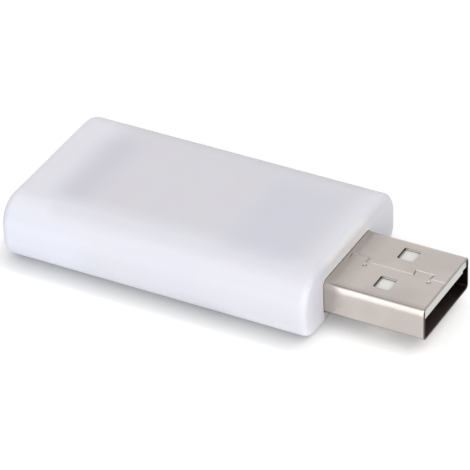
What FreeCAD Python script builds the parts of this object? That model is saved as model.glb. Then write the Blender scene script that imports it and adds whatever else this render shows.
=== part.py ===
import FreeCAD, Part
import math
import os

# A Wi-Fi stick for an air conditioner: a milky moulded sleeve round a small circuit board,
# with a standard USB-A plug that stands out of its front wall.
# Millimetres. +X runs along the stick towards the plug, +Z is up, and Z = 0 is the surface
# that the stick lies on. It lies with the contact side of its plug facing down.

# Sleeve
body_length = 40.4
body_width = 23.8
body_height = 8.2
wall = 1.5
top_radius = 3.5                # long edges beside the upper face
bottom_radius = 3.0             # long edges beside the underside
front_radius = 0.8              # edge round the plug's end
rear_radius = 1.4               # edge round the open end
land = 0.1                      # flat rim kept beside a rounded edge
slide_gap = 0.05                # sliding fit, each side
rail_depth = 0.8                # guide rails stand this far in from the side walls
rail_height = 0.7
rail_lead = 1.0                 # they start this far in front of the board's rear edge
rib_width = 1.2                 # two ribs under the roof hold the plug's shell down
rib_spacing = 7.0

# Rear cap
cap_thickness = 1.5
cap_edge = 0.15
arm_spacing = 11.0              # two springy arms run forward along the sleeve's floor
arm_width = 3.4
arm_thickness = 0.75
hook_height = 0.3
hook_length = 1.2
hook_to_tip = 1.6               # from the hook's catch to the arm's tip
fork_width = 1.2                # two forks hold the board's rear corners
fork_lip = 1.0
fork_overlap = 0.7

# Plug shell, one folded strip
plug_width = 12.0
plug_height = 4.5
plug_reach = 12.7               # how far it stands out of the front wall
plug_tail = 4.5                 # how far it runs on behind that wall
plug_offset = -1.0              # its middle lies to one side of the sleeve's middle
sheet = 0.3
shell_radius = 0.65
hole_gap = 0.1                  # round the plug in the sleeve's front wall
mouth_radius = 0.12             # round the mouth's outer edge
window_length = 2.1
window_width = 2.3
window_setback = 5.2
window_spacing = 6.3
window_radius = 0.2
seam_offset = -0.2
seam_gap = 0.03
seam_bevel = 0.09               # the seam's edges are rounded off by this much on each side
seam_bevel_depth = 0.09
dovetail_depth = 0.95
dovetail_length = 2.1
dovetail_flare = 0.12
front_dovetail = 2.0            # from the mouth
rear_dovetail = 10.15
stake_radius = 0.28             # punch mark beside each dovetail
stake_depth = 0.18
stake_lead = 0.2
stake_offset = 0.75
ear_length = 2.4                # lanced from the side walls and soldered to the board
ear_reach = 1.2
ear_setback = 0.8

# Plug insulator
insulator_fit = 0.05
tongue_thickness = 1.85
tongue_setback = 0.15
tongue_nose = 1.35              # height of its upright front face
tongue_step = 0.3               # it is thinner by this along its left edge
tongue_step_width = 0.95
cavity_depth = 9.6              # from the mouth to the solid block

# Plug contacts
contact_width = 1.0
contact_sheet = 0.25
contact_proud = 0.03
contact_nose = 0.5
contact_tail = 2.0
data_spacing = 2.0
power_spacing = 7.0
power_setback = 1.6
data_setback = 2.6
barb_width = 1.3
barb_length = 0.8
barb_depth = 3.0                # behind the front of the insulator's block

# Circuit board
board_length = 32.6
board_thickness = 1.0
board_corner = 0.5
board_front_gap = 0.2
notch_gap = 0.1                 # round the plug

# Radio module
module_length = 20.0
module_width = 16.0
module_thickness = 0.8
module_inset = 0.2
castellation_pitch = 1.5
castellation_radius = 0.35
castellations = 9
copper = 0.05
antenna_line = 0.5
antenna_pitch = 1.2
antenna_depth = 3.0
antenna_legs = 11
can_length = 14.6
can_side_margin = 0.7
can_height = 1.6
can_sheet = 0.2
can_radius = 0.5
can_margin = 0.5
vent_radius = 0.45
vent_pitch = 3.2
vents = 3
gate_width = 1.8                # gaps under the can's walls, over the tracks
gate_height = 0.35

# Small parts: length along the board, width across it, height
radio_chip_size = (5.0, 5.0, 0.85)
flash_chip_size = (5.0, 4.0, 0.8)
crystal_size = (2.5, 3.2, 0.7)
match_size = (1.0, 0.5, 0.5)
regulator_size = (2.5, 4.5, 1.5)
diode_size = (1.6, 2.9, 1.1)
transistor_size = (1.3, 2.9, 1.0)
input_capacitor_size = (3.2, 1.6, 1.3)
output_capacitor_size = (1.6, 3.2, 1.3)
bead_size = (1.25, 2.0, 0.9)
resistor_size = (1.6, 0.8, 0.45)
lamp_size = (2.0, 1.25, 0.8)
lamp_base = 0.3
lamp_round = 0.2
chip_pad = 0.05
terminal = 0.35                 # metal end of a chip part
terminal_proud = 0.03
lead_sheet = 0.15
lead_width = 0.4
lead_knee = 0.15
lead_reach = 0.55
standoff = 0.1                  # under a part that stands on leads
part_gap = 0.35
matching_parts = 3              # beside the aerial
pull_ups = 4

# Places worked out from the sizes above
overrun = 1.0                   # how far a cutting tool passes the face that it opens
close = 1e-4                    # corners nearer than this count as one place
body_rear = -(body_length + plug_reach) / 2
body_front = body_rear + body_length
bore_front = body_front - wall
bore_half = body_width / 2 - wall
bore_floor = wall
bore_roof = body_height - wall
plug_tip = body_front + plug_reach
plug_rear = bore_front - plug_tail
plug_left = plug_offset - plug_width / 2
plug_right = plug_offset + plug_width / 2
plug_bottom = bore_floor + slide_gap
plug_top = plug_bottom + plug_height
block_front = plug_tip - cavity_depth
tongue_front = plug_tip - tongue_setback
tongue_top = plug_top - sheet - insulator_fit
tongue_bottom = tongue_top - tongue_thickness
contact_bottom = tongue_bottom - contact_proud
contact_top = contact_bottom + contact_sheet
tail_end = plug_rear - contact_tail
board_top = contact_bottom
board_bottom = board_top - board_thickness
board_front = bore_front - board_front_gap
board_rear = board_front - board_length
board_half = bore_half - slide_gap
rail_face = bore_half - rail_depth
module_rear = board_rear + module_inset
module_front = module_rear + module_length
module_top = board_top + module_thickness
can_front = module_front - can_margin
can_rear = can_front - can_length
can_half = module_width / 2 - can_side_margin
fork_middle = (module_width / 2 + rail_face) / 2
hook_catch = board_rear
arm_tip = hook_catch + hook_to_tip


def box(x0, x1, y0, y1, z0, z1):
    return Part.makeBox(x1 - x0, y1 - y0, z1 - z0, FreeCAD.Vector(x0, y0, z0))


def block(x, y, bottom, size):
    length, width, height = size
    return box(x - length / 2, x + length / 2, y - width / 2, y + width / 2, bottom, bottom + height)


def prism(points, y0, y1):
    """A solid with this outline in X and Z, from y0 to y1."""
    corners = [FreeCAD.Vector(x, y0, z) for x, z in points]
    face = Part.Face(Part.makePolygon(corners + corners[:1]))
    return face.extrude(FreeCAD.Vector(0, y1 - y0, 0))


def fuse(first, *others):
    return first.fuse(list(others)).removeSplitter()


def upright_edges(shape):
    boxes = [(edge, edge.BoundBox) for edge in shape.Edges]
    return [edge for edge, span in boxes if span.ZLength > max(span.XLength, span.YLength)]


def rounded_block(x0, x1, y0, y1, z0, z1, radius):
    plain = box(x0, x1, y0, y1, z0, z1)
    return plain.makeFillet(radius, upright_edges(plain))


def end_edges(shape, x):
    """The edges that lie in the plane at x."""
    boxes = [(edge, edge.BoundBox) for edge in shape.Edges]
    return [edge for edge, span in boxes if abs(span.XMin - x) + abs(span.XMax - x) < close]


def level_edges(shape, z):
    """The edges that lie in the plane at z."""
    boxes = [(edge, edge.BoundBox) for edge in shape.Edges]
    return [edge for edge, span in boxes if abs(span.ZMin - z) + abs(span.ZMax - z) < close]


def section_bar(x0, x1, middle, half, z0, z1, upper, lower):
    """A bar along X with rounded long edges."""
    corners = ((half, z1, upper), (-half, z1, upper), (-half, z0, lower), (half, z0, lower))
    edges = []
    last = None
    first = None
    for turn, (reach, z, radius) in enumerate(corners):
        centre_y = middle + reach - math.copysign(radius, reach)
        centre_z = z - radius if z == z1 else z + radius
        spots = []
        for share in (0, 0.5, 1):
            angle = math.radians(90 * (turn + share))
            y = centre_y + radius * math.cos(angle)
            spots.append(FreeCAD.Vector(x0, y, centre_z + radius * math.sin(angle)))
        if last:
            edges.append(Part.LineSegment(last, spots[0]).toShape())
        edges.append(Part.Arc(*spots).toShape())
        first = first or spots[0]
        last = spots[2]
    edges.append(Part.LineSegment(last, first).toShape())
    return Part.Face(Part.Wire(edges)).extrude(FreeCAD.Vector(x1 - x0, 0, 0))


def bore_bar(x0, x1, gap):
    """The sleeve's inside, smaller by a gap on every side."""
    return section_bar(x0, x1, 0, bore_half - gap, bore_floor + gap, bore_roof - gap,
                       top_radius - wall - gap, bottom_radius - wall - gap)


def plug_bar(x0, x1, inset):
    """The plug's outline, smaller by an inset on every side."""
    return section_bar(x0, x1, plug_offset, plug_width / 2 - inset, plug_bottom + inset, plug_top - inset,
                       shell_radius - inset, shell_radius - inset)


def sleeve():
    body = section_bar(body_rear, body_front, 0, body_width / 2, 0, body_height, top_radius, bottom_radius)
    body = body.makeFillet(front_radius, end_edges(body, body_front))
    body = body.makeFillet(min(rear_radius, wall - land), end_edges(body, body_rear))
    bore = bore_bar(body_rear - overrun, bore_front, 0)
    for side in (-1, 1):
        low, high = sorted((side * rail_face, side * body_width / 2))
        start = board_rear + rail_lead
        under = board_bottom - slide_gap
        over = board_top + slide_gap
        bore = bore.cut(box(start, body_front, low, high, under - rail_height, under))
        bore = bore.cut(box(start, body_front, low, high, over, over + rail_height))
        rib = plug_offset + side * rib_spacing / 2
        bore = bore.cut(box(plug_rear, body_front, rib - rib_width / 2, rib + rib_width / 2,
                            plug_top + slide_gap, body_height))
        arm = side * arm_spacing / 2
        bore = bore.fuse(box(hook_catch - slide_gap, hook_catch + hook_length + slide_gap,
                             arm - arm_width / 2 - slide_gap, arm + arm_width / 2 + slide_gap,
                             bore_floor - hook_height - slide_gap, bore_floor + slide_gap))
    hole = plug_bar(bore_front - overrun, body_front + overrun, -hole_gap)
    return body.cut([bore, hole])


def rear_cap():
    plate = bore_bar(body_rear, body_rear + cap_thickness, slide_gap)
    plate = plate.makeChamfer(cap_edge, end_edges(plate, body_rear))
    root = body_rear + cap_thickness / 2
    low = bore_floor + slide_gap
    pieces = []
    for side in (-1, 1):
        arm = side * arm_spacing / 2
        outline = ((root, low), (hook_catch, low), (hook_catch, low - hook_height),
                   (hook_catch + hook_length, low), (arm_tip, low),
                   (arm_tip, low + arm_thickness), (root, low + arm_thickness))
        pieces.append(prism(outline, arm - arm_width / 2, arm + arm_width / 2))
        fork = side * fork_middle
        outline = ((root, board_bottom - slide_gap - fork_lip),
                   (board_rear + fork_overlap, board_bottom - slide_gap - fork_lip),
                   (board_rear + fork_overlap, board_bottom - slide_gap),
                   (board_rear - slide_gap, board_bottom - slide_gap),
                   (board_rear - slide_gap, board_top + slide_gap),
                   (board_rear + fork_overlap, board_top + slide_gap),
                   (board_rear + fork_overlap, board_top + slide_gap + fork_lip),
                   (root, board_top + slide_gap + fork_lip))
        pieces.append(prism(outline, fork - fork_width / 2, fork + fork_width / 2))
    return fuse(plate, *pieces)


def seam_points():
    """The line where the folded strip meets itself, with its two dovetails."""
    home = plug_offset + seam_offset
    head = home + dovetail_depth
    points = [(plug_rear - overrun, home)]
    for setback in (rear_dovetail, front_dovetail):
        back = plug_tip - setback - dovetail_length
        front = plug_tip - setback
        points += [(back, home), (back - dovetail_flare, head), (front + dovetail_flare, head), (front, home)]
    points.append((plug_tip + overrun, home))
    return points


def ribbon(points, width, z):
    """The closed outline of a strip of this width that follows the points."""
    left = []
    right = []
    for index, (x, y) in enumerate(points):
        before = points[max(index - 1, 0)]
        after = points[min(index + 1, len(points) - 1)]
        arriving = math.atan2(y - before[1], x - before[0]) if index else None
        leaving = math.atan2(after[1] - y, after[0] - x) if index < len(points) - 1 else None
        arriving = leaving if arriving is None else arriving
        leaving = arriving if leaving is None else leaving
        bend = (leaving - arriving) / 2
        normal = arriving + bend + math.pi / 2
        reach = width / 2 / math.cos(bend)
        left.append(FreeCAD.Vector(x + reach * math.cos(normal), y + reach * math.sin(normal), z))
        right.append(FreeCAD.Vector(x - reach * math.cos(normal), y - reach * math.sin(normal), z))
    outline = left + right[::-1]
    return Part.makePolygon(outline + outline[:1])


def seam():
    slit = Part.Face(ribbon(seam_points(), seam_gap, plug_top - sheet - insulator_fit / 2))
    slit = slit.extrude(FreeCAD.Vector(0, 0, sheet + insulator_fit))
    wide = ribbon(seam_points(), seam_gap + 4 * seam_bevel, plug_top + seam_bevel_depth)
    narrow = ribbon(seam_points(), seam_gap, plug_top - seam_bevel_depth)
    return [slit, Part.makeLoft([wide, narrow], True, True)]


def stake(setback):
    """A shallow round punch mark in the upper wall."""
    sphere_radius = (stake_radius ** 2 + stake_depth ** 2) / (2 * stake_depth)
    x = plug_tip - setback + stake_lead
    y = plug_offset + seam_offset - stake_offset
    return Part.makeSphere(sphere_radius, FreeCAD.Vector(x, y, plug_top + sphere_radius - stake_depth))


def usb_shell():
    shell = plug_bar(plug_rear, plug_tip, 0)
    shell = shell.makeFillet(min(mouth_radius, sheet - land), end_edges(shell, plug_tip))
    cuts = [plug_bar(plug_rear - overrun, plug_tip + overrun, sheet)]
    cuts += seam()
    cuts += [stake(front_dovetail), stake(rear_dovetail)]
    window_front = plug_tip - window_setback
    for side in (-1, 1):
        middle = plug_offset + side * window_spacing / 2
        cuts.append(rounded_block(window_front - window_length, window_front,
                                  middle - window_width / 2, middle + window_width / 2,
                                  plug_bottom - overrun, plug_top + overrun, window_radius))
    ear_rear = plug_rear + ear_setback
    cuts.append(box(ear_rear, ear_rear + ear_length, plug_left - overrun, plug_right + overrun,
                    board_top + sheet, board_top + sheet + ear_reach))
    shell = shell.cut(cuts)
    ears = []
    for edge, side in ((plug_left, -1), (plug_right, 1)):
        low, high = sorted((edge - side * sheet, edge + side * ear_reach))
        ears.append(box(ear_rear, ear_rear + ear_length, low, high, board_top, board_top + sheet))
    return fuse(shell, *ears)


def tongue(lift, left):
    """A flat tongue, up to y = left, whose lower front edge slopes back. lift raises its underside."""
    under = tongue_bottom + lift
    nose = tongue_top - tongue_nose + lift
    outline = ((plug_rear, tongue_top), (tongue_front, tongue_top), (tongue_front, nose),
               (tongue_front - nose + under, under), (plug_rear, under))
    return prism(outline, plug_left, left)


def usb_insulator(contacts):
    inset = sheet + insulator_fit
    whole = plug_bar(plug_rear, tongue_front, inset)
    rear = box(plug_rear, block_front, plug_left, plug_right, plug_bottom, plug_top)
    edge = tongue(tongue_step, plug_right)
    core = tongue(0, plug_right - inset - tongue_step_width)
    return fuse(rear, edge, core).common(whole).cut(contacts)


def usb_contact(offset, setback):
    """A flat spring-brass strip: tail on the board, barbs in the block, turned-up nose."""
    front = plug_tip - setback
    lift = contact_sheet * math.sqrt(0.5)
    upper_bend = front - contact_sheet * math.tan(math.pi / 8)
    outline = ((tail_end, contact_bottom), (front, contact_bottom),
               (front + contact_nose, contact_bottom + contact_nose),
               (front + contact_nose - lift, contact_bottom + contact_nose + lift),
               (upper_bend, contact_top), (tail_end, contact_top))
    middle = plug_offset + offset
    strip = prism(outline, middle - contact_width / 2, middle + contact_width / 2)
    barb_front = block_front - barb_depth
    barb = box(barb_front - barb_length, barb_front, middle - barb_width / 2, middle + barb_width / 2,
               contact_bottom, contact_top)
    return fuse(strip, barb)


def circuit_board():
    board = rounded_block(board_rear, board_front, -board_half, board_half,
                          board_bottom, board_top, board_corner)
    notch = box(plug_rear - notch_gap, board_front + overrun, plug_left - notch_gap, plug_right + notch_gap,
                board_bottom - overrun, board_top + overrun)
    return board.cut(notch)


def antenna_points():
    """The printed aerial: legs along the board's width, joined alternately at their ends."""
    near = module_rear + antenna_line
    far = near + antenna_depth
    points = []
    for leg in range(antenna_legs):
        y = (leg - (antenna_legs - 1) / 2) * antenna_pitch
        ends = (near, far) if leg % 2 else (far, near)
        points += [(ends[0], y), (ends[1], y)]
    points[0] = (can_rear - antenna_line, points[0][1])
    return points


def module_board():
    board = box(module_rear, module_front, -module_width / 2, module_width / 2, board_top, module_top)
    holes = []
    for index in range(castellations):
        x = module_front - castellation_pitch * (index + 1)
        for side in (-1, 1):
            holes.append(Part.makeCylinder(castellation_radius, module_thickness + 2 * overrun,
                                           FreeCAD.Vector(x, side * module_width / 2, board_top - overrun)))
    track = Part.Face(ribbon(antenna_points(), antenna_line, module_top - copper))
    track = track.extrude(FreeCAD.Vector(0, 0, 2 * copper))
    return fuse(board.cut(holes), track)


def shield_can():
    top = module_top + can_height
    can = rounded_block(can_rear, can_front, -can_half, can_half, module_top, top, can_radius)
    can = can.makeFillet(can_sheet, level_edges(can, top))
    inner_half = can_half - can_sheet
    inside = rounded_block(can_rear + can_sheet, can_front - can_sheet, -inner_half, inner_half,
                           module_top - overrun, top - can_sheet, can_radius - can_sheet)
    middle = (can_rear + can_front) / 2
    cuts = [inside]
    for row in range(vents):
        for column in range(vents):
            x = middle + (row - (vents - 1) / 2) * vent_pitch
            y = (column - (vents - 1) / 2) * vent_pitch
            base = FreeCAD.Vector(x, y, top - 2 * can_sheet)
            cuts.append(Part.makeCylinder(vent_radius, can_height, base))
    cuts.append(box(middle - gate_width / 2, middle + gate_width / 2, -module_width, module_width,
                    module_top - overrun, module_top + gate_height))
    cuts.append(box(can_rear - overrun, can_front + overrun, -gate_width / 2, gate_width / 2,
                    module_top - overrun, module_top + gate_height))
    return can.cut(cuts)


def flat_chip(x, y, bottom, size):
    """A leadless chip: a moulded slab on a thin metal pad."""
    length, width, height = size
    pad = (length - 2 * terminal, width - 2 * terminal, chip_pad)
    return fuse(block(x, y, bottom, pad), block(x, y, bottom + chip_pad, (length, width, height - chip_pad)))


def crystal(x, y, bottom, size):
    """A seam-sealed metal lid on a ceramic tray."""
    length, width, height = size
    lid = (length - 2 * terminal_proud, width - 2 * terminal_proud, height)
    return fuse(block(x, y, bottom, (length, width, height / 2)), block(x, y, bottom, lid))


def chip_part(x, y, bottom, size):
    """A leadless part with a metal end cap on each of its two short ends."""
    length, width, height = size
    along = length > width
    body = (length, width - 2 * terminal_proud, height - 2 * terminal_proud)
    if not along:
        body = (length - 2 * terminal_proud, width, height - 2 * terminal_proud)
    pieces = []
    for side in (-1, 1):
        if along:
            pieces.append(block(x + side * (length - terminal) / 2, y, bottom, (terminal, width, height)))
        else:
            pieces.append(block(x, y + side * (width - terminal) / 2, bottom, (length, terminal, height)))
    return fuse(block(x, y, bottom + terminal_proud, body), *pieces)


def leaded_part(x, y, bottom, size, front_leads, rear_leads):
    """A moulded body on gull-wing leads, front_leads and rear_leads give their places across it."""
    length, width, height = size
    low = bottom + standoff
    body = block(x, y, low, (length, width, height - standoff))
    shoulder = low + (height - standoff) / 2
    pieces = []
    for side, places in ((1, front_leads), (-1, rear_leads)):
        face = x + side * length / 2
        knee = face + side * lead_knee
        toe = face + side * lead_reach
        outer_knee = knee + side * lead_sheet
        outline = ((x, shoulder), (outer_knee, shoulder), (outer_knee, bottom + lead_sheet),
                   (toe, bottom + lead_sheet), (toe, bottom), (knee, bottom),
                   (knee, shoulder - lead_sheet), (x, shoulder - lead_sheet))
        for place in places:
            pieces.append(prism(outline, y + place - lead_width / 2, y + place + lead_width / 2))
    return fuse(body, *pieces)


def signal_lamp(x, y, bottom, size):
    """A small lamp: a flat base with a clear block on it."""
    length, width, height = size
    lens = block(x, y, bottom + lamp_base, (length - 2 * terminal, width, height - lamp_base))
    lens = lens.makeFillet(lamp_round, level_edges(lens, bottom + height))
    return fuse(block(x, y, bottom, (length, width, lamp_base)), lens)


def module_parts():
    """What lies under the shield can."""
    middle = (can_rear + can_front) / 2
    chip_x = middle + radio_chip_size[0] / 2
    flash_x = middle - part_gap - flash_chip_size[0] / 2
    flash_y = part_gap + flash_chip_size[1] / 2
    crystal_y = -part_gap - crystal_size[1] / 2
    parts = {
        "radio_chip": flat_chip(chip_x, 0, module_top, radio_chip_size),
        "flash_chip": flat_chip(flash_x, flash_y, module_top, flash_chip_size),
        "clock_crystal": crystal(flash_x, crystal_y, module_top, crystal_size),
    }
    match_x = can_rear + can_sheet + part_gap + match_size[0] / 2
    for index in range(matching_parts):
        y = -can_half + can_radius + part_gap + (index + 1) * (match_size[1] + part_gap)
        parts[f"matching_part_{index + 1}"] = chip_part(match_x, y, module_top, match_size)
    return parts


def front_row():
    """Parts in a row across the board behind the contacts' tails."""
    edge = tail_end - part_gap
    outer = transistor_size[1] / 2 - lead_width
    diode_outer = diode_size[1] / 2 - lead_width
    regulator_outer = regulator_size[1] / 2 - lead_width
    row = (
        ("level_transistor_1", transistor_size, (0,), (-outer, outer)),
        ("level_transistor_2", transistor_size, (0,), (-outer, outer)),
        ("surge_diode", diode_size, (-diode_outer, 0, diode_outer), (-diode_outer, 0, diode_outer)),
        ("input_capacitor", input_capacitor_size, None, None),
        ("voltage_regulator", regulator_size, (-regulator_outer, 0, regulator_outer), (0,)),
    )
    parts = {}
    y = -rail_face + part_gap
    for name, size, front_leads, rear_leads in row:
        y += size[1] / 2
        if front_leads:
            x = edge - lead_reach - size[0] / 2
            parts[name] = leaded_part(x, y, board_top, size, front_leads, rear_leads)
        else:
            parts[name] = chip_part(edge - size[0] / 2, y, board_top, size)
        y += size[1] / 2 + part_gap
    return parts


def rear_row():
    """Parts in a row across the board in front of the radio module."""
    names = [f"pull_up_resistor_{index + 1}" for index in range(pull_ups)]
    row = [(name, resistor_size) for name in names]
    row += [("output_capacitor", output_capacitor_size), ("ferrite_bead", bead_size)]
    parts = {}
    y = -module_width / 2 + part_gap
    for name, size in row:
        y += size[1] / 2
        parts[name] = chip_part(module_front + part_gap + size[0] / 2, y, board_top, size)
        y += size[1] / 2 + 2 * part_gap
    return parts


def lamp_and_resistor():
    """The signal lamp beside the plug, with its resistor behind it."""
    lamp_x = (plug_rear + board_front) / 2
    lamp_y = (plug_right + ear_reach + rail_face) / 2
    resistor_x = lamp_x - lamp_size[0] / 2 - part_gap - resistor_size[0] / 2
    return {
        "signal_lamp": signal_lamp(lamp_x, lamp_y, board_top, lamp_size),
        "lamp_resistor": chip_part(resistor_x, lamp_y, board_top, resistor_size),
    }


def contacts():
    return {
        "contact_power": usb_contact(power_spacing / 2, power_setback),
        "contact_data_minus": usb_contact(data_spacing / 2, data_setback),
        "contact_data_plus": usb_contact(-data_spacing / 2, data_setback),
        "contact_ground": usb_contact(-power_spacing / 2, power_setback),
    }


strips = contacts()
nodes = {
    "housing_sleeve": sleeve(),
    "rear_cap": rear_cap(),
    "usb_shell": usb_shell(),
    "usb_insulator": usb_insulator(list(strips.values())),
    "circuit_board": circuit_board(),
    "module_board": module_board(),
    "shield_can": shield_can(),
}
nodes.update(strips)
nodes.update(module_parts())
nodes.update(front_row())
nodes.update(rear_row())
nodes.update(lamp_and_resistor())

os.makedirs("parts", exist_ok=True)
for name, shape in nodes.items():
    shape.exportStep(f"parts/{name}.step")
    print(name, len(shape.Solids), "solid,", round(shape.Volume, 3), "mm3, valid:", shape.isValid())
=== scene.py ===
import math

import bpy
from mathutils import Matrix, Vector


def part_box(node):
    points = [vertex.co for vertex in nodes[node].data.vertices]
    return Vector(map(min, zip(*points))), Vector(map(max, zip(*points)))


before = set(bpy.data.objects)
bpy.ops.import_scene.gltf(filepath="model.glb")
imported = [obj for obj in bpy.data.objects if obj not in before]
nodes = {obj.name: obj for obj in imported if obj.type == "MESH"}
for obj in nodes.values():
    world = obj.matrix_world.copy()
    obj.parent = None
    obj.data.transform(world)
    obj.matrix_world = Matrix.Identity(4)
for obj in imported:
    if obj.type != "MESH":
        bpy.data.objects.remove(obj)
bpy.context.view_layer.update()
mm = 0.001
print("frame loaded:", len(nodes), "nodes")


# Small helpers

def linear(hexColour):
    channels = [int(hexColour[i:i + 2], 16) / 255 for i in (1, 3, 5)]
    curved = [c / 12.92 if c <= 0.04045 else ((c + 0.055) / 1.055) ** 2.4 for c in channels]
    return (*curved, 1.0)


def addNode(tree, kind, values=None, links=None, **settings):
    # values fills sockets with numbers or colours, links feeds them from other sockets.
    # A colour Mix takes its colours at 6 and 7, and gives the result at 2.
    node = tree.nodes.new(kind)
    for name, value in settings.items():
        setattr(node, name, value)
    for socket, value in (values or {}).items():
        node.inputs[socket].default_value = value
    for socket, source in (links or {}).items():
        tree.links.new(source, node.inputs[socket])
    return node


def startMaterial(name, values):
    # a material with only its surface shader, whose fixed values are set on its own sockets
    material = bpy.data.materials.new(name)
    material.use_nodes = True
    tree = material.node_tree
    tree.nodes.clear()
    shader = addNode(tree, "ShaderNodeBsdfPrincipled", values)
    addNode(tree, "ShaderNodeOutputMaterial", links={"Surface": shader.outputs[0]})
    return material, tree, shader


def dress(material, slot, *names):
    for name in names:
        mesh = nodes[name].data
        mesh.materials.clear()
        mesh.materials.append(material)


def spanOf(*names):
    # lowest and highest corners of some CAD nodes together, in millimetres
    boxes = [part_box(name) for name in names]
    low = [min(box[0][axis] for box in boxes) / mm for axis in range(3)]
    high = [max(box[1][axis] for box in boxes) / mm for axis in range(3)]
    return low, high


def millimetres(tree):
    # where a point of the surface lies on the stick, in millimetres
    place = addNode(tree, "ShaderNodeTexCoord").outputs["Object"]
    return addNode(tree, "ShaderNodeVectorMath", {"Scale": 1 / mm}, {0: place}, operation="SCALE").outputs[0]


def fromCorner(tree, name):
    # where a point lies in a node's own box, in millimetres from its lowest corner
    low, high = spanOf(name)
    size = tuple(high[axis] - low[axis] for axis in range(3))
    share = addNode(tree, "ShaderNodeTexCoord").outputs["Generated"]
    place = addNode(tree, "ShaderNodeVectorMath", {1: size}, {0: share}, operation="MULTIPLY").outputs[0]
    return place, size


def awayFrom(tree, value, middle):
    aside = addNode(tree, "ShaderNodeMath", {1: middle}, {0: value}, operation="SUBTRACT").outputs[0]
    return addNode(tree, "ShaderNodeMath", links={0: aside}, operation="ABSOLUTE").outputs[0]


def inBand(tree, value, low, high):
    # 1 where a value lies between two limits, and 0 elsewhere
    away = awayFrom(tree, value, (low + high) / 2)
    return addNode(tree, "ShaderNodeMath", {1: (high - low) / 2}, {0: away}, operation="LESS_THAN").outputs[0]


def allOf(tree, share, *others):
    for other in others:
        share = addNode(tree, "ShaderNodeMath", links={0: share, 1: other}, operation="MULTIPLY").outputs[0]
    return share


def coats(tree, base, *layers):
    # a base, written as a hex colour or coming from a socket, with other colours laid over it in
    # turn, each by its share
    for hexColour, share in layers:
        values = {7: linear(hexColour)}
        links = {0: share}
        if isinstance(base, str):
            values[6] = linear(base)
        else:
            links[6] = base
        base = addNode(tree, "ShaderNodeMix", values, links, data_type="RGBA").outputs[2]
    return base


def fineRelief(tree, shader, spot, grain, height, under=None):
    # an uneven relief as fine as the grain, both in millimetres, over a larger one if there is one
    noise = addNode(tree, "ShaderNodeTexNoise", {"Scale": 1 / grain, "Detail": 2.0}, {"Vector": spot})
    links = {"Height": noise.outputs["Fac"]}
    if under:
        links["Normal"] = under
    bump = addNode(tree, "ShaderNodeBump", {"Distance": height * mm, "Strength": 1.0}, links)
    tree.links.new(bump.outputs[0], shader.inputs["Normal"])
    return noise.outputs["Fac"]


def softZone(tree, axes, alongX, alongY, fade):
    # 1 over a rectangle seen from above, falling to 0 across the fade, all in millimetres
    shares = []
    for place, (low, high) in zip(axes, (alongX, alongY)):
        half = (high - low) / 2
        away = awayFrom(tree, place, (low + high) / 2)
        shares.append(addNode(tree, "ShaderNodeMapRange", {
            "From Min": half + fade / 2, "From Max": half - fade / 2}, {"Value": away},
            interpolation_type="SMOOTHSTEP").outputs[0])
    return allOf(tree, *shares)


def rollingMarks(tree, shader, spot, m, under=None):
    # the fine lengthwise relief of rolled strip, and the uneven polish that goes with it
    along = addNode(tree, "ShaderNodeVectorMath", {1: (m["grainWidth"] / m["grainLength"], 1.0, 1.0)},
                    {0: spot}, operation="MULTIPLY").outputs[0]
    marks = fineRelief(tree, shader, along, m["grainWidth"], m["grainHeight"], under)
    return addNode(tree, "ShaderNodeMapRange", {
        "To Min": m["roughness"] - m["roughnessSwing"], "To Max": m["roughness"] + m["roughnessSwing"]},
        {"Value": marks}).outputs[0]


# Camera, where the photograph was taken from

photoCamera = {
    "focalPixels": 3768.04,
    "framePixels": 470,
    "sensor": 36.0,
    "azimuth": 28.849,
    "elevation": 34.394,
    "roll": -1.776,
    "distance": 442.784 * mm,
    "aim": Vector((-1.15, 0.0, 4.0)) * mm,
    "aside": -0.176 * mm,
    "above": -0.188 * mm,
    "clip": (0.01, 20.0),
}


def outwardTo(s):
    # azimuth turns from in front of the near side towards the plug, elevation up from the floor
    azimuth, elevation = math.radians(s["azimuth"]), math.radians(s["elevation"])
    return Vector((math.sin(azimuth) * math.cos(elevation),
                   -math.cos(azimuth) * math.cos(elevation), math.sin(elevation)))


def makeCamera(c):
    back = outwardTo(c)
    roll = math.radians(c["roll"])
    level = Vector((0, 0, 1)).cross(back).normalized()
    raised = back.cross(level)
    right = math.cos(roll) * level + math.sin(roll) * raised
    up = math.cos(roll) * raised - math.sin(roll) * level
    data = bpy.data.cameras.new("photoCamera")
    data.sensor_width = c["sensor"]
    data.lens = c["focalPixels"] / c["framePixels"] * c["sensor"]
    data.clip_start, data.clip_end = c["clip"]
    camera = bpy.data.objects.new("photoCamera", data)
    bpy.context.scene.collection.objects.link(camera)
    place = c["aim"] + back * c["distance"] + right * c["aside"] + up * c["above"]
    turn = Matrix((right, up, back)).transposed().to_4x4()
    camera.matrix_world = Matrix.Translation(place) @ turn
    bpy.context.scene.camera = camera


makeCamera(photoCamera)
print("camera placed")


# Studio: white floor, white world and one softbox beside the camera. A grey ceiling, a dark
# flag and two cards on the floor are seen by shiny surfaces alone, and shape the plug's metal.

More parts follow.
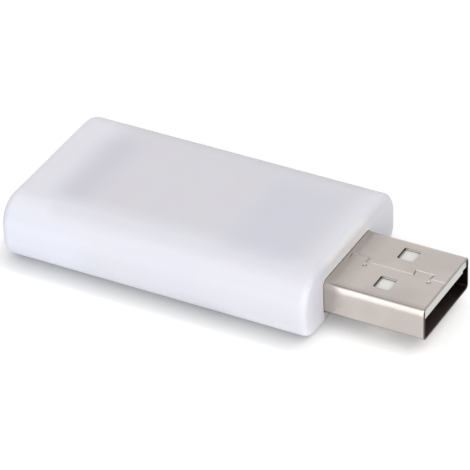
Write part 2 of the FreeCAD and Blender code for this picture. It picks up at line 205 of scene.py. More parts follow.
studio = {
    "floorSize": 3.0,
    "floorDrop": 0.02 * mm,             # so that the floor and the stick's underside don't coincide
    "floorColour": "#F7F7F7",
    "floorFill": 0.27,
    "contactReach": (3.2, 2.75),        # how far the soft shadow reaches from the housing and the plug
    "contactStep": (13.0, 15.0),        # one reach gives way to the other here along the stick
    "contactShare": 0.45,
    "contactEnd": (24.6, 27.2),         # it grows weak here, towards the mouth
    "contactLeast": 0.08,               # and this share of it stays
    "contactLean": (0.35, 0.8, 0.0),    # it looks this way, so that it gathers at the near side
    "contactSamples": 8,
    "worldColour": "#FFFFFF",
    "worldLevel": 0.80,
    # the lamp, the panels and the cards are placed and sized in metres
    "softbox": {"azimuth": 28.0, "elevation": 26.5, "distance": 1.2, "size": 0.6, "watts": 5.7},
    "ceiling": {"azimuth": 0.0, "elevation": 90.0, "distance": 0.5, "size": 1.3, "level": 0.77},
    "flag": {"azimuth": -45.0, "elevation": 53.0, "distance": 0.4, "size": 0.12, "level": 0.2},
    "brightCard": {"left": -0.16, "right": 0.06, "nearEdge": 0.015, "farEdge": 0.12,
                   "nearHeight": 0.0005, "farHeight": 0.058, "level": 1.85},
    "greyCard": {"left": 0.014, "right": 0.06, "nearEdge": 0.0075, "farEdge": 0.015,
                 "nearHeight": 0.0003, "farHeight": 0.0005, "level": 0.98},
}


def seenDirectly(tree):
    # 1 for rays from the camera, and for those that a shiny or clear surface sends on
    path = addNode(tree, "ShaderNodeLightPath")
    either = addNode(tree, "ShaderNodeMath", operation="MAXIMUM",
                     links={0: path.outputs["Is Glossy Ray"], 1: path.outputs["Is Transmission Ray"]})
    return addNode(tree, "ShaderNodeMath", operation="MAXIMUM",
                   links={0: path.outputs["Is Camera Ray"], 1: either.outputs[0]}).outputs[0]


def squareCorners(size, height):
    half = size / 2
    return [(-half, -half, height), (half, -half, height), (half, half, height), (-half, half, height)]


def makeFloor(s):
    mesh = bpy.data.meshes.new("floor")
    mesh.from_pydata(squareCorners(s["floorSize"], -s["floorDrop"]), [], [(0, 1, 2, 3)])
    floor = bpy.data.objects.new("floor", mesh)
    bpy.context.scene.collection.objects.link(floor)
    material = bpy.data.materials.new("matt white paper")
    material.use_nodes = True
    tree = material.node_tree
    tree.nodes.clear()
    white = linear(s["floorColour"])
    # the soft shadow round the stick
    level = addNode(tree, "ShaderNodeNewGeometry").outputs["Normal"]
    lean = addNode(tree, "ShaderNodeVectorMath", {1: s["contactLean"]}, {0: level}, operation="ADD")
    leaning = addNode(tree, "ShaderNodeVectorMath", links={0: lean.outputs[0]}, operation="NORMALIZE")
    along = addNode(tree, "ShaderNodeSeparateXYZ", links={0: millimetres(tree)}).outputs[0]
    reach = addNode(tree, "ShaderNodeMapRange", {
        "From Min": s["contactStep"][0], "From Max": s["contactStep"][1],
        "To Min": s["contactReach"][0] * mm, "To Max": s["contactReach"][1] * mm}, {"Value": along})
    weight = addNode(tree, "ShaderNodeMapRange", {
        "From Min": s["contactEnd"][0], "From Max": s["contactEnd"][1],
        "To Min": 1.0, "To Max": s["contactLeast"]}, {"Value": along})
    contact = addNode(tree, "ShaderNodeAmbientOcclusion", {"Color": white},
                      {"Normal": leaning.outputs[0], "Distance": reach.outputs[0]},
                      samples=s["contactSamples"])
    shaded = addNode(tree, "ShaderNodeMix", {6: white},
                     {0: weight.outputs[0], 7: contact.outputs["Color"]}, data_type="RGBA").outputs[2]
    # it is painted only where it is seen, and the fill too
    seen = seenDirectly(tree)
    share = addNode(tree, "ShaderNodeMath", {1: s["contactShare"]}, {0: seen}, operation="MULTIPLY")
    tone = addNode(tree, "ShaderNodeMix", {6: white}, {0: share.outputs[0], 7: shaded},
                   data_type="RGBA").outputs[2]
    paper = addNode(tree, "ShaderNodeBsdfDiffuse", links={"Color": tone})
    extra = addNode(tree, "ShaderNodeMath", {1: s["floorFill"]}, {0: seen}, operation="MULTIPLY")
    fill = addNode(tree, "ShaderNodeEmission", links={"Color": shaded, "Strength": extra.outputs[0]})
    both = addNode(tree, "ShaderNodeAddShader", links={0: paper.outputs[0], 1: fill.outputs[0]})
    addNode(tree, "ShaderNodeOutputMaterial", links={"Surface": both.outputs[0]})
    mesh.materials.append(material)


def makeWorld(s):
    world = bpy.data.worlds.new("white studio")
    world.use_nodes = True
    tree = world.node_tree
    tree.nodes.clear()
    level = addNode(tree, "ShaderNodeMapRange", {"To Min": s["worldLevel"], "To Max": 1.0},
                    {"Value": seenDirectly(tree)})
    light = addNode(tree, "ShaderNodeBackground", {"Color": linear(s["worldColour"])},
                    {"Strength": level.outputs[0]})
    addNode(tree, "ShaderNodeOutputWorld", links={"Surface": light.outputs[0]})
    bpy.context.scene.world = world


def aimAtStick(thing, s):
    outward = outwardTo(s)
    bpy.context.scene.collection.objects.link(thing)
    thing.location = outward * s["distance"]
    thing.rotation_mode = "QUATERNION"
    thing.rotation_quaternion = outward.to_track_quat("Z", "Y")


def makeSoftbox(name, s):
    data = bpy.data.lights.new(name, "AREA")
    data.shape = "SQUARE"
    data.size = s["size"]
    data.energy = s["watts"]
    aimAtStick(bpy.data.objects.new(name, data), s)


def makeGlow(name, corners, level):
    # a glowing sheet that only shiny surfaces see
    mesh = bpy.data.meshes.new(name)
    mesh.from_pydata(corners, [], [(0, 1, 2, 3)])
    material = bpy.data.materials.new(name)
    material.use_nodes = True
    tree = material.node_tree
    tree.nodes.clear()
    glow = addNode(tree, "ShaderNodeEmission", {"Strength": level})
    addNode(tree, "ShaderNodeOutputMaterial", links={"Surface": glow.outputs[0]})
    mesh.materials.append(material)
    panel = bpy.data.objects.new(name, mesh)
    panel.visible_camera = False
    panel.visible_diffuse = False
    panel.visible_shadow = False
    panel.visible_transmission = False
    return panel


def makePanel(name, s):
    aimAtStick(makeGlow(name, squareCorners(s["size"], 0.0), s["level"]), s)


def makeCard(name, s):
    # it lies in front of the near side and rises away from it
    corners = [(s["left"], -s["nearEdge"], s["nearHeight"]), (s["right"], -s["nearEdge"], s["nearHeight"]),
               (s["right"], -s["farEdge"], s["farHeight"]), (s["left"], -s["farEdge"], s["farHeight"])]
    bpy.context.scene.collection.objects.link(makeGlow(name, corners, s["level"]))


makeFloor(studio)
makeWorld(studio)
makeSoftbox("softbox", studio["softbox"])
makePanel("grey ceiling", studio["ceiling"])
makePanel("dark flag", studio["flag"])
makeCard("bright card", studio["brightCard"])
makeCard("grey card", studio["greyCard"])
bpy.context.scene.view_settings.view_transform = "Standard"
print("studio lit")


# Housing: milky polycarbonate, injection moulded. The eye gets a satin glow with no sharp
# highlight, and painted grey shade where parts of the board lie close under the roof.

housing = {
    # painted shade and tint: the sides are coloured darker and bluer than the roof for the light on them
    "roofColour": "#E3E3EA",
    "sideColour": "#D8DAE5",
    "cloudColour": "#E3DFE7",
    "cloudWidth": 9.0,
    "cloudEdge": (0.4, 0.7),        # of the noise: none below, full above
    "cloudShare": 0.35,
    "roughness": 0.6,
    "ior": 1.58,
    "glow": 0.6,
    "glowRadius": 0.9,
    "glowTint": (1.0, 1.0, 1.1),    # blue light goes a little further in the resin
    # each kind of shading starts and is full at these places along X, Y or Z (0, 1 or 2)
    "depths": {"roof": (2, 6.0, 8.2), "side": (2, 7.5, 4.8), "end": (0, 13.0, 13.8),
               "brow": (2, 6.4, 7.9), "foot": (2, 3.2, 1.2), "corner": (2, 2.2, 1.4),
               "rear": (0, -25.2, -26.4)},
    # painted light and shade: painted shade where the board's parts lie under the roof, and painted
    # shade and painted light on the sides, the ends, the brow, the foot, the rear and in the corner
    # below the plug. Each row gives where it is seen, its place along X and along Y in millimetres,
    # the width over which it fades, how much of its colour shows, and that colour
    "paintedLightAndShade": (
        ("roof", (-21.0, 12.0), (-7.3, 13.0), 4.5, 0.42, "#C8C4C8"),
        ("roof", (-21.3, -17.1), (-7.3, 6.5), 4.0, 0.45, "#C6C6D6"),
        ("roof", (1.2, 10.0), (-8.5, 6.5), 4.0, 0.30, "#C5CADF"),
        ("side", (-15.5, 14.0), (-15.5, 15.5), 5.0, 0.32, "#CAC9CB"),
        ("end", (10.0, 20.0), (-8.0, 14.0), 4.0, 0.48, "#D7D5D7"),
        ("end", (10.0, 20.0), (-6.0, 4.0), 2.5, 0.45, "#FAF6F0"),
        ("end", (10.0, 20.0), (-12.6, -9.8), 2.0, 0.40, "#F0F1F6"),
        ("brow", (13.25, 20.0), (-14.0, 14.0), 1.2, 0.24, "#B2B2BA"),
        ("roof", (-20.5, 13.0), (-10.8, -9.0), 1.4, 0.22, "#C5C6CE"),
        ("foot", (-24.0, -2.0), (-18.0, 18.0), 8.0, 0.20, "#F4F5FA"),
        ("foot", (4.0, 14.0), (-18.0, 18.0), 6.0, 0.35, "#F4F5FA"),
        ("side", (13.2, 14.0), (-13.0, -11.5), 0.8, 0.25, "#C2C4CC"),
        ("corner", (13.6, 20.0), (-6.9, 4.9), 0.4, 0.50, "#7E7E84"),
        ("rear", (-40.0, -20.0), (-14.0, -6.5), 2.5, 0.40, "#BEBEC6"),
    ),
    # the end is paler close above the plug, from the light that the metal throws back
    "plugGlowColour": "#FFFFFF",
    "plugGlowAbove": (6.75, 6.0),           # none from the first height up, full at the second
    "plugGlowLowest": 5.5,
    "plugGlowAcross": (-1.0, 6.3, 5.0),     # its middle, none this far off, full this near
    "grain": 0.15,                  # spark-eroded mould, really 0.05, drawn coarser to show close up
    "grainHeight": 0.0015,
}


def makeHousing(h):
    material, tree, shader = startMaterial("milky polycarbonate", {
        "Roughness": h["roughness"], "IOR": h["ior"], "Subsurface Weight": h["glow"],
        "Subsurface Radius": h["glowTint"], "Subsurface Scale": h["glowRadius"] * mm})
    spot = millimetres(tree)
    axes = addNode(tree, "ShaderNodeSeparateXYZ", links={0: spot}).outputs
    depths = {}
    for seen, (axis, begin, full) in h["depths"].items():
        depths[seen] = addNode(tree, "ShaderNodeMapRange", {"From Min": begin, "From Max": full},
                               {"Value": axes[axis]}, interpolation_type="SMOOTHSTEP").outputs[0]
    cloud = addNode(tree, "ShaderNodeTexNoise", {"Scale": 1 / h["cloudWidth"], "Detail": 1.0},
                    {"Vector": spot})
    cloudy = addNode(tree, "ShaderNodeMapRange", {
        "From Min": h["cloudEdge"][0], "From Max": h["cloudEdge"][1], "To Max": h["cloudShare"]},
        {"Value": cloud.outputs["Fac"]}, interpolation_type="SMOOTHSTEP").outputs[0]
    # the sides' painted shade and tint give way to the roof's colour upwards
    colour = coats(tree, h["sideColour"], (h["roofColour"], depths["roof"]), (h["cloudColour"], cloudy))
    # each painted shade or painted light is laid over the colour in turn
    for seen, alongX, alongY, fade, most, hexColour in h["paintedLightAndShade"]:
        deep = allOf(tree, softZone(tree, axes, alongX, alongY, fade), depths[seen])
        share = addNode(tree, "ShaderNodeMath", {1: most}, {0: deep}, operation="MULTIPLY").outputs[0]
        colour = coats(tree, colour, (hexColour, share))
    none, full = h["plugGlowAbove"]
    above = addNode(tree, "ShaderNodeMapRange", {"From Min": none, "From Max": full},
                    {"Value": axes[2]}, interpolation_type="SMOOTHSTEP").outputs[0]
    upper = inBand(tree, axes[2], h["plugGlowLowest"], none)
    middle, wide, near = h["plugGlowAcross"]
    across = addNode(tree, "ShaderNodeMapRange", {"From Min": wide, "From Max": near},
                     {"Value": awayFrom(tree, axes[1], middle)}, interpolation_type="SMOOTHSTEP").outputs[0]
    colour = coats(tree, colour, (h["plugGlowColour"], allOf(tree, above, upper, across, depths["end"])))
    tree.links.new(colour, shader.inputs["Base Color"])
    fineRelief(tree, shader, spot, h["grain"], h["grainHeight"])
    dress(material, "milky_plastic", "housing_sleeve", "rear_cap")


makeHousing(housing)
print("housing dressed")


# Plug shell: steel strip, nickel plated, stamped and folded. The eye gets a warm grey satin
# metal with a lengthwise grain, dark sheared edges, painted highlights along the seam and its
# edges, painted shade in the punch marks, on the seam's flanks, beside the housing and underneath,
# and a dark inside of painted shade.

plugShell = {
    "colour": "#D1C9C4",
    "cloudColour": "#CBC3BD",
    "cloudWidth": 5.0,
    "cloudEdge": (0.4, 0.62),       # of the noise: none below, full above
    "rootShadeColour": "#A09993",        # painted shade beside the housing, where the metal lies in its shade and reflects its end
    "root": (14.7, 17.6),           # in full up to the first place along the stick, none from the second
    "rootShadeShare": 0.45,
    "rootShadeOnSides": 0.4,             # as much of that as the top has
    "underShadeColour": "#8F8781",       # dull underneath, where it slides
    "underShadeFacing": (-0.1, -0.5),    # painted shade underneath, on faces that look down
    "underShadeShare": 0.25,
    "heelShadeColour": "#57504B",        # painted shade, darker in the corner below the housing's end
    "heel": (14.3, 18.0),           # in full and none, likewise
    "heelFacing": (-0.1, -0.4),
    "heelShare": 0.45,
    "cutColour": "#3C3531",         # sheared edges that look along the plug
    "rimColour": "#7A716B",         # the same at the mouth, along the top
    "rimLength": 0.5,
    "rimDepth": 0.45,
    "flankShadeColour": "#B2AAA3",       # painted shade on the seam's rounded edges where they look along the plug
    "slitColour": "#A39A93",        # sheared edges of the windows and the seam that look across it
    "slitInset": 1.0,               # away from the side walls
    "edgeHighlightColour": "#E6DFD8",        # a painted highlight runs along the middle of those edges
    "bandHeight": 0.14,
    # painted shade in the punch marks' hollows
    "markShadeColour": "#B0A7A1",
    "seamHighlightColour": "#FFFDF9",
    "seamHighlight": (16.2, 17.4),         # the seam's lines carry a painted highlight from here on
    "seamHighlightLeast": 0.15,            # and by this share behind it
    # painted shade: the inside is coloured dark as it lies in shade
    "insideShadeColour": "#665B57",
    "farWallColour": "#3A3431",     # the mouth's far wall sees only the dark inside
    "farWallDepth": 0.2,            # it begins this far inside the insulator's side
    "insideDulling": 0.15,          # added to the roughness
    "insideMargin": 0.05,           # the inside's painted shade and dulling run this far into the sheet
    "margin": 0.1,                  # a zone's reach past the faces that it covers
    "sheet": 0.3,                   # the strip's thickness
    "fit": 0.05,                    # and the play between it and the insulator
    "seam": (-1.45, -0.05),         # across the plug, the seam lies between these
    "marks": (-2.3, -1.6),          # and its punch marks between these
    "seamDepth": 0.12,              # their faces lie no deeper than this below the top
    "turned": (0.4, 0.6),           # a face looks along or across the plug from here on
    "upright": 0.2,                 # it is upright if it looks up or down by less
    "level": 0.998,                 # and level if it looks up by more
    "roughness": 0.2,
    "roughnessSwing": 0.05,
    "grainWidth": 0.07,             # rolling marks, really 0.01, drawn coarser so that they show
    "grainLength": 3.0,
    "grainHeight": 0.0003,
    "roll": (4.9, 5.7),             # the sides lean in a little between these heights, below the bend
    "rollDepth": 0.045,
}


def makePlugShell(p):
    material, tree, shader = startMaterial("nickel plated steel", {"Metallic": 1.0})
    spot = millimetres(tree)
    along, across, up = addNode(tree, "ShaderNodeSeparateXYZ", links={0: spot}).outputs[:3]
    normal = addNode(tree, "ShaderNodeNewGeometry").outputs["Normal"]
    facing = addNode(tree, "ShaderNodeSeparateXYZ", links={0: normal}).outputs
    # how far each face is turned along the plug and across it
    turned = []
    for axis in (0, 1):
        square = addNode(tree, "ShaderNodeMath", links={0: facing[axis]}, operation="ABSOLUTE").outputs[0]
        turned.append(addNode(tree, "ShaderNodeMapRange", {
            "From Min": p["turned"][0], "From Max": p["turned"][1]}, {"Value": square}).outputs[0])
    # the shell lies round the insulator
    low, high = spanOf("usb_insulator")
    front = spanOf("usb_shell")[1][0]
    top = high[2] + p["fit"] + p["sheet"]
    above = top + p["margin"]
    room = p["fit"] + p["insideMargin"]
    cavity = allOf(tree, inBand(tree, across, low[1] - room, high[1] + room),
                   inBand(tree, up, low[2] - room, high[2] + room))
    farWall = allOf(tree, cavity, inBand(tree, across, high[1] - p["farWallDepth"],
                                         high[1] + p["fit"] + p["margin"]))
    upright = inBand(tree, facing[2], -p["upright"], p["upright"])
    slit = allOf(tree, turned[1], upright,
                 inBand(tree, across, low[1] + p["slitInset"], high[1] - p["slitInset"]))
    # a painted highlight along the middle of the window and seam edges
    band = allOf(tree, slit, inBand(tree, up, top - (p["sheet"] + p["bandHeight"]) / 2,
                                    top - (p["sheet"] - p["bandHeight"]) / 2))
    rim = allOf(tree, turned[0], inBand(tree, along, front - p["rimLength"], front + p["margin"]),
                inBand(tree, up, top - p["rimDepth"], above))
    # the seam's rounded edges and its punch marks lie near the top and are not level
    tilted = allOf(tree, inBand(tree, facing[2], p["upright"], p["level"]),
                   inBand(tree, up, top - p["seamDepth"], above))
    # a painted highlight along the seam's lines
    seamHighlight = addNode(tree, "ShaderNodeMapRange", {
        "From Min": p["seamHighlight"][0], "From Max": p["seamHighlight"][1], "To Min": p["seamHighlightLeast"]},
        {"Value": along}).outputs[0]
    line = allOf(tree, tilted, turned[1], inBand(tree, across, *p["seam"]), seamHighlight)
    mark = allOf(tree, tilted, inBand(tree, across, *p["marks"]))
    # painted shade beside the housing, and a darker painted shade in the corner below the housing's end
    behind = addNode(tree, "ShaderNodeMapRange", {
        "From Min": p["root"][1], "From Max": p["root"][0], "To Max": p["rootShadeShare"]},
        {"Value": along}, interpolation_type="SMOOTHSTEP").outputs[0]
    rootShadeFacing = addNode(tree, "ShaderNodeMapRange", {"To Min": p["rootShadeOnSides"]}, {"Value": facing[2]})
    root = allOf(tree, behind, rootShadeFacing.outputs[0])
    # painted shade on the faces that look down
    under = addNode(tree, "ShaderNodeMapRange", {
        "From Min": p["underShadeFacing"][0], "From Max": p["underShadeFacing"][1], "To Max": p["underShadeShare"]},
        {"Value": facing[2]}).outputs[0]
    # painted shade in the corner below the housing's end
    down = addNode(tree, "ShaderNodeMapRange", {
        "From Min": p["heelFacing"][0], "From Max": p["heelFacing"][1]}, {"Value": facing[2]})
    close = addNode(tree, "ShaderNodeMapRange", {
        "From Min": p["heel"][1], "From Max": p["heel"][0], "To Max": p["heelShare"]},
        {"Value": along}, interpolation_type="SMOOTHSTEP")
    heel = allOf(tree, down.outputs[0], close.outputs[0])
    cloud = addNode(tree, "ShaderNodeTexNoise", {"Scale": 1 / p["cloudWidth"], "Detail": 1.0},
                    {"Vector": spot})
    patch = addNode(tree, "ShaderNodeMapRange", {
        "From Min": p["cloudEdge"][0], "From Max": p["cloudEdge"][1]},
        {"Value": cloud.outputs["Fac"]}, interpolation_type="SMOOTHSTEP").outputs[0]
    colour = coats(tree, p["colour"], (p["cloudColour"], patch), (p["rootShadeColour"], root),
                   (p["underShadeColour"], under), (p["heelShadeColour"], heel), (p["insideShadeColour"], cavity),
                   (p["farWallColour"], farWall), (p["slitColour"], slit), (p["edgeHighlightColour"], band),
                   (p["seamHighlightColour"], line), (p["cutColour"], turned[0]), (p["rimColour"], rim),
                   (p["flankShadeColour"], allOf(tree, tilted, turned[0])), (p["markShadeColour"], mark))
    tree.links.new(colour, shader.inputs["Base Color"])
    leaning = addNode(tree, "ShaderNodeMapRange", {"From Min": p["roll"][1], "From Max": p["roll"][0]},
                      {"Value": up}, interpolation_type="SMOOTHSTEP").outputs[0]
    roll = addNode(tree, "ShaderNodeBump", {"Distance": p["rollDepth"] * mm, "Strength": 1.0},
                   {"Height": leaning}).outputs[0]
    polish = rollingMarks(tree, shader, spot, p, roll)
    dull = addNode(tree, "ShaderNodeMath", {1: p["insideDulling"]}, {0: cavity, 2: polish},
                   operation="MULTIPLY_ADD").outputs[0]
    tree.links.new(dull, shader.inputs["Roughness"])
    dress(material, "plated_steel", "usb_shell")


makePlugShell(plugShell)
print("plug shell dressed")


# Plug insulator: white PBT, injection moulded. The eye gets an even, slightly warm white with
# a dull sheen, greyer on the nose as painted shade, and painted shadow along the windows' rear edges.

insulator = {
    "colour": "#ECEBE8",
    "cloudColour": "#E4E3DE",
    # painted shade on the nose
    "noseShadeColour": "#CFCEC9",
    "noseLength": 0.3,
    "windowShadowColour": "#77716B",       # painted shadow along the windows' rear edges, where the sheet shades the insulator
    "windowShadowShare": 0.7,
    "windowShadowWidth": 0.32,
    "windowRear": 7.3,              # behind the mouth
    "roughness": 0.45,
    "ior": 1.55,
    "cloudWidth": 2.5,
    "grain": 0.1,
    "grainHeight": 0.001,
}


def makeInsulator(i):
    material, tree, shader = startMaterial("white PBT", {"Roughness": i["roughness"], "IOR": i["ior"]})
    spot = millimetres(tree)
    along = addNode(tree, "ShaderNodeSeparateXYZ", links={0: spot}).outputs[0]
    tip = spanOf("usb_insulator")[1][0]
    windowRear = spanOf("usb_shell")[1][0] - i["windowRear"]
    cloud = addNode(tree, "ShaderNodeTexNoise", {"Scale": 1 / i["cloudWidth"]}, {"Vector": spot})
    # painted shade on the nose
    nose = addNode(tree, "ShaderNodeMapRange", {"From Min": tip - i["noseLength"], "From Max": tip},
                   {"Value": along}, interpolation_type="SMOOTHSTEP").outputs[0]
    # painted shadow along the windows' rear edges
    windowShadow = addNode(tree, "ShaderNodeMapRange", {
        "From Min": i["windowShadowWidth"], "From Max": 0.0, "To Max": i["windowShadowShare"]},
        {"Value": awayFrom(tree, along, windowRear)}, interpolation_type="SMOOTHSTEP").outputs[0]
    colour = coats(tree, i["colour"], (i["cloudColour"], cloud.outputs["Fac"]),
                   (i["noseShadeColour"], nose), (i["windowShadowColour"], windowShadow))
    tree.links.new(colour, shader.inputs["Base Color"])
    fineRelief(tree, shader, spot, i["grain"], i["grainHeight"])
    dress(material, "white_plastic", "usb_insulator")


makeInsulator(insulator)
print("insulator dressed")


# Plug contacts: phosphor bronze strip, gold flashed where it mates and tinned where it is
# soldered. The eye gets thin warm bars in the mouth, with rolling marks along them.

contact = {
    "nodes": ("contact_power", "contact_data_minus", "contact_data_plus", "contact_ground"),
    "goldColour": "#E3BE74",
    "wornColour": "#CDA56B",        # bronze shows where the flash is thin
    "tinColour": "#C6C7C4",
    "tinnedLength": 2.4,            # from the tails on
    "tinFade": 0.4,
    "wearWidth": 0.8,
    "wearEdge": (0.5, 0.65),        # of the noise: none below, full above
    "roughness": 0.24,
    "roughnessSwing": 0.08,
    "grainWidth": 0.05,
    "grainLength": 2.0,
    "grainHeight": 0.0004,
}


def makeContacts(c):
    material, tree, shader = startMaterial("gold flashed phosphor bronze", {"Metallic": 1.0})
    spot = millimetres(tree)
    along = addNode(tree, "ShaderNodeSeparateXYZ", links={0: spot}).outputs[0]
    wear = addNode(tree, "ShaderNodeTexNoise", {"Scale": 1 / c["wearWidth"], "Detail": 3.0},
                   {"Vector": spot})
    thin = addNode(tree, "ShaderNodeMapRange", {
        "From Min": c["wearEdge"][0], "From Max": c["wearEdge"][1]},
        {"Value": wear.outputs["Fac"]}).outputs[0]
    tail = spanOf(*c["nodes"])[0][0] + c["tinnedLength"]
    tinned = addNode(tree, "ShaderNodeMapRange", {
        "From Min": tail + c["tinFade"] / 2, "From Max": tail - c["tinFade"] / 2},
        {"Value": along}).outputs[0]
    colour = coats(tree, c["goldColour"], (c["wornColour"], thin), (c["tinColour"], tinned))
    tree.links.new(colour, shader.inputs["Base Color"])
    tree.links.new(rollingMarks(tree, shader, spot, c), shader.inputs["Roughness"])
    dress(material, "gilt_contact", *c["nodes"])


makeContacts(contact)
print("contacts dressed")


# Circuit board: glass epoxy, etched, with blue solder mask. The eye gets a glossy blue with
# lighter copper runs under it, tinned vias, and straw-coloured cut edges with glass layers.

board = {
    "maskColour": "#1F4E86",
    "runColour": "#2F68A6",
    "runPitch": 0.6,
    "runLength": 7.0,
    "runSoftness": 0.3,
    "gap": 0.2,                     # between two runs
    "viaPitch": 2.6,
    "viaScatter": 0.7,
    "viaRadius": 0.25,
    "viaRim": (1.15, 0.9),          # the tin ends between these shares of that radius
    "tinColour": "#C9CAC8",
    "epoxyColour": "#BFAE7C",
    "glassColour": "#D9CEA6",
    "layer": 0.18,
    "layerWave": 0.314,             # a wave texture's period at a scale of 1
    "layerWobble": 1.5,
    "level": 0.5,                   # a face that looks up or down by less is a cut edge
    "roughness": 0.32,
    "ior": 1.5,
    "weave": 0.4,
    "weaveHeight": 0.002,
}


def makeBoard(b):
    material, tree, shader = startMaterial("masked glass epoxy", {
        "Roughness": b["roughness"], "IOR": b["ior"]})
    spot = millimetres(tree)
    runs = addNode(tree, "ShaderNodeTexBrick", {
        "Color1": linear(b["runColour"]), "Color2": linear(b["runColour"]),
        "Mortar": linear(b["maskColour"]), "Scale": 1.0, "Mortar Size": b["gap"] / 2,
        "Mortar Smooth": b["runSoftness"], "Brick Width": b["runLength"], "Row Height": b["runPitch"]},
        {"Vector": spot})
    vias = addNode(tree, "ShaderNodeTexVoronoi", {
        "Scale": 1 / b["viaPitch"], "Randomness": b["viaScatter"]}, {"Vector": spot},
        voronoi_dimensions="2D")
    none, full = (share * b["viaRadius"] / b["viaPitch"] for share in b["viaRim"])
    tinned = addNode(tree, "ShaderNodeMapRange", {"From Min": none, "From Max": full},
                     {"Value": vias.outputs["Distance"]}).outputs[0]
    masked = coats(tree, runs.outputs["Color"], (b["tinColour"], tinned))
    layers = addNode(tree, "ShaderNodeTexWave", {
        "Scale": b["layerWave"] / b["layer"], "Distortion": b["layerWobble"]}, {"Vector": spot},
        bands_direction="Z")
    cut = coats(tree, b["epoxyColour"], (b["glassColour"], layers.outputs["Fac"]))
    normal = addNode(tree, "ShaderNodeNewGeometry").outputs["Normal"]
    facing = addNode(tree, "ShaderNodeSeparateXYZ", links={0: normal}).outputs[2]
    flat = addNode(tree, "ShaderNodeMath", links={0: facing}, operation="ABSOLUTE").outputs[0]
    side = addNode(tree, "ShaderNodeMath", {1: b["level"]}, {0: flat}, operation="LESS_THAN").outputs[0]
    colour = addNode(tree, "ShaderNodeMix", links={0: side, 6: masked, 7: cut},
                     data_type="RGBA").outputs[2]
    tree.links.new(colour, shader.inputs["Base Color"])
    face = addNode(tree, "ShaderNodeMath", {0: 1.0}, {1: side}, operation="SUBTRACT").outputs[0]
    tree.links.new(allOf(tree, face, tinned), shader.inputs["Metallic"])
    fineRelief(tree, shader, spot, b["weave"], b["weaveHeight"])
    dress(material, "board", "circuit_board")


makeBoard(board)


# Radio module's board: thin glass epoxy under black solder mask. The eye gets a satin black
# with the aerial's copper a shade lighter, and gilt half holes along both sides.

module = {
    "maskColour": "#15171C",
    "cloudColour": "#1D2027",
    "copperColour": "#4A3F2C",
    "giltColour": "#D8B46C",
    "padReach": 0.8,                # in from each side
    "padWidth": 0.9,
    "padPitch": 1.5,
    "trackHeight": 0.05,            # the aerial's copper stands this far above the board
    "copperRise": 0.02,             # and takes its colour from here up
    "roughness": 0.4,
    "ior": 1.5,
    "weave": 0.4,
    "weaveHeight": 0.002,
}


def makeModuleBoard(m):
    material, tree, shader = startMaterial("black masked glass epoxy", {
        "Roughness": m["roughness"], "IOR": m["ior"]})
    spot = millimetres(tree)
    place, size = fromCorner(tree, "module_board")
    along, across, up = addNode(tree, "ShaderNodeSeparateXYZ", links={0: place}).outputs[:3]
    cloud = addNode(tree, "ShaderNodeTexNoise", {"Scale": 1 / m["weave"]}, {"Vector": spot})
    raised = addNode(tree, "ShaderNodeMath", {1: size[2] - m["trackHeight"] + m["copperRise"]},
                     {0: up}, operation="GREATER_THAN").outputs[0]
    # the half holes stand a pitch apart, counted from the module's front edge
    fromFront = addNode(tree, "ShaderNodeMath", {0: size[0]}, {1: along},
                        operation="SUBTRACT").outputs[0]
    nearest = addNode(tree, "ShaderNodeMath", {1: m["padPitch"]}, {0: fromFront},
                      operation="PINGPONG").outputs[0]
    pad = addNode(tree, "ShaderNodeMath", {1: m["padPitch"] - m["padWidth"] / 2}, {0: nearest},
                  operation="GREATER_THAN").outputs[0]
    edge = addNode(tree, "ShaderNodeMath", {1: size[1] / 2 - m["padReach"]},
                   {0: awayFrom(tree, across, size[1] / 2)}, operation="GREATER_THAN").outputs[0]
    gilt = allOf(tree, pad, edge)
    colour = coats(tree, m["maskColour"], (m["cloudColour"], cloud.outputs["Fac"]),
                   (m["copperColour"], raised), (m["giltColour"], gilt))
    tree.links.new(colour, shader.inputs["Base Color"])
    tree.links.new(gilt, shader.inputs["Metallic"])
    fineRelief(tree, shader, spot, m["weave"], m["weaveHeight"])
    dress(material, "module_board", "module_board")


makeModuleBoard(module)


# Shield can and crystal lid: tinned steel, pressed. The eye gets a soft cool grey metal with
# rolling marks and the faint mottling of tin.

tinnedSteel = {
    "colour": "#C4C5C3",
    "mottleColour": "#AFB1AF",
    "mottleWidth": 0.9,
    "roughness": 0.3,
    "roughnessSwing": 0.07,
    "grainWidth": 0.06,
    "grainLength": 4.0,
    "grainHeight": 0.0004,
}


def makeTinnedSteel(t):
    material, tree, shader = startMaterial("tinned steel", {"Metallic": 1.0})
    spot = millimetres(tree)
    mottle = addNode(tree, "ShaderNodeTexVoronoi", {"Scale": 1 / t["mottleWidth"]}, {"Vector": spot},
                     feature="SMOOTH_F1").outputs["Distance"]
    tree.links.new(coats(tree, t["colour"], (t["mottleColour"], mottle)), shader.inputs["Base Color"])
    tree.links.new(rollingMarks(tree, shader, spot, t), shader.inputs["Roughness"])
    dress(material, "can_steel", "shield_can", "clock_crystal")


makeTinnedSteel(tinnedSteel)
print("boards and can dressed")


# Moulded chips: black epoxy compound, transfer moulded. The eye gets a matt black with a fine
# sandy grain, a sunk dot beside the first lead, and tinned leads where it has them.

mouldedChip = {
    "nodes": {"radio_chip": 0.0, "flash_chip": 0.0, "level_transistor_1": 0.55, "level_transistor_2": 0.55,
              "surge_diode": 0.55, "voltage_regulator": 0.55},      # with the reach of their leads
    "colour": "#1C1C1E",
    "grainColour": "#2A2A2C",
    "tinColour": "#C6C7C5",
    "dotColour": "#3A3A3C",
    "dotRadius": 0.2,
    "dotInset": 0.5,
    "roughness": 0.55,
    "ior": 1.55,
    "grain": 0.08,
    "grainHeight": 0.004,
}


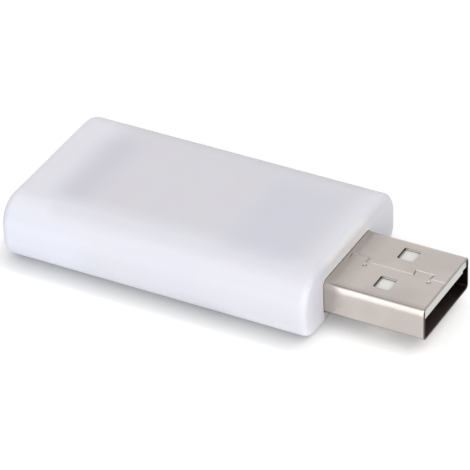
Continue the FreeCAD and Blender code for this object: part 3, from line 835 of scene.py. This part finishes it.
def makeMouldedChip(name, reach, m):
    material, tree, shader = startMaterial("black epoxy, " + name, {
        "Roughness": m["roughness"], "IOR": m["ior"]})
    place, size = fromCorner(tree, name)
    axes = addNode(tree, "ShaderNodeSeparateXYZ", links={0: place}).outputs
    grain = fineRelief(tree, shader, place, m["grain"], m["grainHeight"])
    # the dot lies inside the body's corner, the leads outside its two ends
    corner = (reach + m["dotInset"], m["dotInset"])
    aside = [addNode(tree, "ShaderNodeMath", {1: corner[axis]}, {0: axes[axis]},
                     operation="SUBTRACT").outputs[0] for axis in (0, 1)]
    flat = addNode(tree, "ShaderNodeCombineXYZ", links={0: aside[0], 1: aside[1]}).outputs[0]
    away = addNode(tree, "ShaderNodeVectorMath", links={0: flat}, operation="LENGTH").outputs["Value"]
    dot = addNode(tree, "ShaderNodeMath", {1: m["dotRadius"]}, {0: away},
                  operation="LESS_THAN").outputs[0]
    half = size[0] / 2
    lead = addNode(tree, "ShaderNodeMath", {1: half - reach}, {0: awayFrom(tree, axes[0], half)},
                   operation="GREATER_THAN").outputs[0]
    colour = coats(tree, m["colour"], (m["grainColour"], grain), (m["dotColour"], dot),
                   (m["tinColour"], lead))
    tree.links.new(colour, shader.inputs["Base Color"])
    tree.links.new(lead, shader.inputs["Metallic"])
    dress(material, "chip_black", name)


for name, reach in mouldedChip["nodes"].items():
    makeMouldedChip(name, reach, mouldedChip)


# Chip parts: ceramic or ferrite bricks, fired, with tinned end caps. The eye gets black, brown
# or grey bodies with a dull glaze between two bright ends.

chipPart = {
    "kinds": {
        "glazed black alumina": ("chip_black", "#141416", "#232326",
                                 ("pull_up_resistor_1", "pull_up_resistor_2", "pull_up_resistor_3",
                                  "pull_up_resistor_4", "lamp_resistor")),
        "brown ceramic": ("chip_brown", "#8E6F4E", "#9C7F5F",
                          ("matching_part_1", "matching_part_2", "matching_part_3", "input_capacitor",
                           "output_capacitor")),
        "grey ferrite": ("chip_grey", "#4C4C50", "#5A5A5E", ("ferrite_bead",)),
    },
    "tinColour": "#CBCCCA",
    "terminal": 0.35,               # length of each end cap
    "roughness": 0.38,
    "ior": 1.6,
    "grain": 0.12,
    "grainHeight": 0.002,
}


def makeChipPart(name, kind, colours, slot, c):
    material, tree, shader = startMaterial(kind + ", " + name, {
        "Roughness": c["roughness"], "IOR": c["ior"]})
    place, size = fromCorner(tree, name)
    axes = addNode(tree, "ShaderNodeSeparateXYZ", links={0: place}).outputs
    longest = 0 if size[0] > size[1] else 1
    half = size[longest] / 2
    away = awayFrom(tree, axes[longest], half)
    cap = addNode(tree, "ShaderNodeMath", {1: half - c["terminal"]}, {0: away},
                  operation="GREATER_THAN").outputs[0]
    grain = fineRelief(tree, shader, place, c["grain"], c["grainHeight"])
    colour = coats(tree, colours[0], (colours[1], grain), (c["tinColour"], cap))
    tree.links.new(colour, shader.inputs["Base Color"])
    tree.links.new(cap, shader.inputs["Metallic"])
    dress(material, slot, name)


for kind, (slot, dark, light, names) in chipPart["kinds"].items():
    for name in names:
        makeChipPart(name, kind, (dark, light), slot, chipPart)


# Signal lamp: a white epoxy base with a clear lens. The eye gets a glossy drop, faintly yellow
# over the crystal in its middle.

lamp = {
    "baseColour": "#E9E7DF",
    "lensColour": "#DCDCCB",
    "crystalColour": "#E5D98A",
    "baseHeight": 0.3,              # the lens begins above it
    "crystalReach": 0.7,            # from the middle of the lens's top
    "roughness": 0.15,
    "ior": 1.53,
    "glow": 0.4,
    "glowRadius": 0.4,
    "ripple": 0.3,
    "rippleHeight": 0.001,
}


def makeLamp(s):
    material, tree, shader = startMaterial("clear epoxy", {
        "Roughness": s["roughness"], "IOR": s["ior"], "Subsurface Weight": s["glow"],
        "Subsurface Scale": s["glowRadius"] * mm})
    place, size = fromCorner(tree, "signal_lamp")
    height = addNode(tree, "ShaderNodeSeparateXYZ", links={0: place}).outputs[2]
    away = addNode(tree, "ShaderNodeVectorMath", {1: (size[0] / 2, size[1] / 2, size[2])}, {0: place},
                   operation="DISTANCE").outputs["Value"]
    crystal = addNode(tree, "ShaderNodeMapRange", {"From Min": s["crystalReach"], "From Max": 0.0},
                      {"Value": away}, interpolation_type="SMOOTHSTEP").outputs[0]
    base = addNode(tree, "ShaderNodeMath", {1: s["baseHeight"]}, {0: height},
                   operation="LESS_THAN").outputs[0]
    colour = coats(tree, s["lensColour"], (s["crystalColour"], crystal), (s["baseColour"], base))
    tree.links.new(colour, shader.inputs["Base Color"])
    fineRelief(tree, shader, place, s["ripple"], s["rippleHeight"])
    dress(material, "lamp_clear", "signal_lamp")


makeLamp(lamp)
print("small parts dressed")

bare = [name for name, thing in nodes.items()
        if not thing.data.materials or not thing.data.materials[0].use_nodes]
print("nodes without a finish:", bare or "none")
